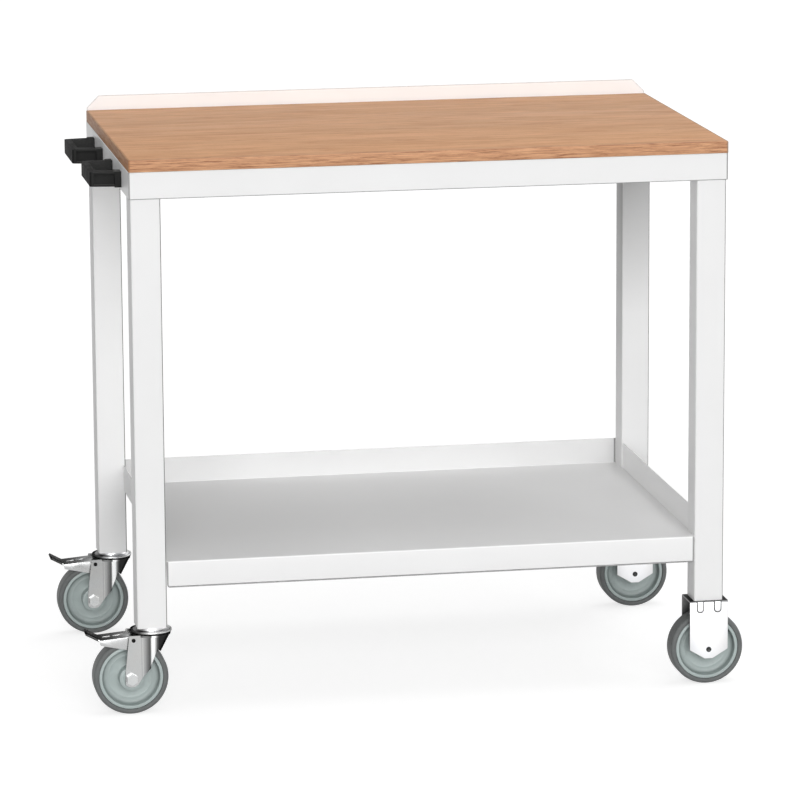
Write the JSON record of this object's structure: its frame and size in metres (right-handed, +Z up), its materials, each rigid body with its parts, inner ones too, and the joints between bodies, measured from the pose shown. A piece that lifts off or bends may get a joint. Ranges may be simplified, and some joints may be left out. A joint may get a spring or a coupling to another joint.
{
  "type": "mobile assembly table",
  "caption": "Rolling assembly bench: wooden worktop with rear upstand on a square-tube frame, tray shelf below, bow handles at one end, braked swivel and fixed castors.",
  "frame": {"origin": "on the floor, under the centre of the worktop", "axes": "+X to the right along the worktop with the handles at -X, +Y to the rear where the upstand stands, +Z up"},
  "size_m": [1.119, 0.617, 0.955],
  "materials": {
    "beech": "oiled beech, fine grain",
    "white_paint": "white powder coat, satin",
    "black_plastic": "moulded black plastic",
    "grey_tyre": "grey thermoplastic rubber",
    "grey_core": "grey polypropylene",
    "zinc": "bright zinc-plated pressed steel",
    "steel": "zinc-plated turned steel"
  },
  "bodies": {
    "table": {"fixed_axle_sleeves": "steel", "fixed_axles": "steel", "fixed_castor_bolts": "steel", "fixed_spacers": "steel", "foot_insert_front_left": "steel", "foot_insert_front_right": "steel", "foot_insert_rear_left": "steel", "foot_insert_rear_right": "steel", "front_left_kingpin": "steel", "front_left_swivel_head": "zinc", "front_rail": "white_paint", "front_right_bracket": "zinc", "handle_front": "black_plastic", "handle_rear": "black_plastic", "handle_screws": "steel", "left_rail": "white_paint", "leg_front_left": "white_paint", "leg_front_right": "white_paint", "leg_plate_front_left": "white_paint", "leg_plate_front_right": "white_paint", "leg_plate_rear_left": "white_paint", "leg_plate_rear_right": "white_paint", "leg_plate_screws": "steel", "leg_rear_left": "white_paint", "leg_rear_right": "white_paint", "rear_left_kingpin": "steel", "rear_left_swivel_head": "zinc", "rear_rail": "white_paint", "rear_right_bracket": "zinc", "right_rail": "white_paint", "shelf": "white_paint", "shelf_lips": "white_paint", "swivel_castor_bolts": "steel", "upstand": "white_paint", "worktop": "beech", "worktop_screws": "steel"},
    "front_left_swivel": {"front_left_axle_bolt": "steel", "front_left_axle_nut": "steel", "front_left_axle_sleeve": "steel", "front_left_fork": "zinc", "front_left_lever_pins": "steel", "front_left_swivel_balls": "steel", "front_left_swivel_washer": "steel"},
    "rear_left_swivel": {"rear_left_axle_bolt": "steel", "rear_left_axle_nut": "steel", "rear_left_axle_sleeve": "steel", "rear_left_fork": "zinc", "rear_left_lever_pins": "steel", "rear_left_swivel_balls": "steel", "rear_left_swivel_washer": "steel"},
    "front_left_brake": {"front_left_brake_lever": "zinc"},
    "rear_left_brake": {"rear_left_brake_lever": "zinc"},
    "front_left_wheel": {"front_left_core": "grey_core", "front_left_tyre": "grey_tyre"},
    "rear_left_wheel": {"rear_left_core": "grey_core", "rear_left_tyre": "grey_tyre"},
    "front_right_wheel": {"front_right_core": "grey_core", "front_right_tyre": "grey_tyre"},
    "rear_right_wheel": {"rear_right_core": "grey_core", "rear_right_tyre": "grey_tyre"}
  },
  "joints": [
    {"name": "front_left_swivel", "type": "hinge", "parent": "table", "child": "front_left_swivel", "pos_m": [-0.473, -0.27, 0.136], "axis": [0, 0, 1], "continuous": true},
    {"name": "front_left_roll", "type": "hinge", "parent": "front_left_swivel", "child": "front_left_wheel", "pos_m": [-0.5085, -0.27, 0.0625], "axis": [0, 1, 0], "continuous": true},
    {"name": "front_left_brake_press", "type": "hinge", "parent": "front_left_swivel", "child": "front_left_brake", "pos_m": [-0.5048, -0.27, 0.128], "axis": [0, -1, 0], "range_deg": [0, 10]},
    {"name": "rear_left_swivel", "type": "hinge", "parent": "table", "child": "rear_left_swivel", "pos_m": [-0.473, 0.276, 0.136], "axis": [0, 0, 1], "continuous": true},
    {"name": "rear_left_roll", "type": "hinge", "parent": "rear_left_swivel", "child": "rear_left_wheel", "pos_m": [-0.5085, 0.276, 0.0625], "axis": [0, 1, 0], "continuous": true},
    {"name": "rear_left_brake_press", "type": "hinge", "parent": "rear_left_swivel", "child": "rear_left_brake", "pos_m": [-0.5048, 0.276, 0.128], "axis": [0, -1, 0], "range_deg": [0, 10]},
    {"name": "front_right_roll", "type": "hinge", "parent": "table", "child": "front_right_wheel", "pos_m": [0.473, -0.27, 0.0625], "axis": [0, 1, 0], "continuous": true},
    {"name": "rear_right_roll", "type": "hinge", "parent": "table", "child": "rear_right_wheel", "pos_m": [0.473, 0.276, 0.0625], "axis": [0, 1, 0], "continuous": true}
  ]
}
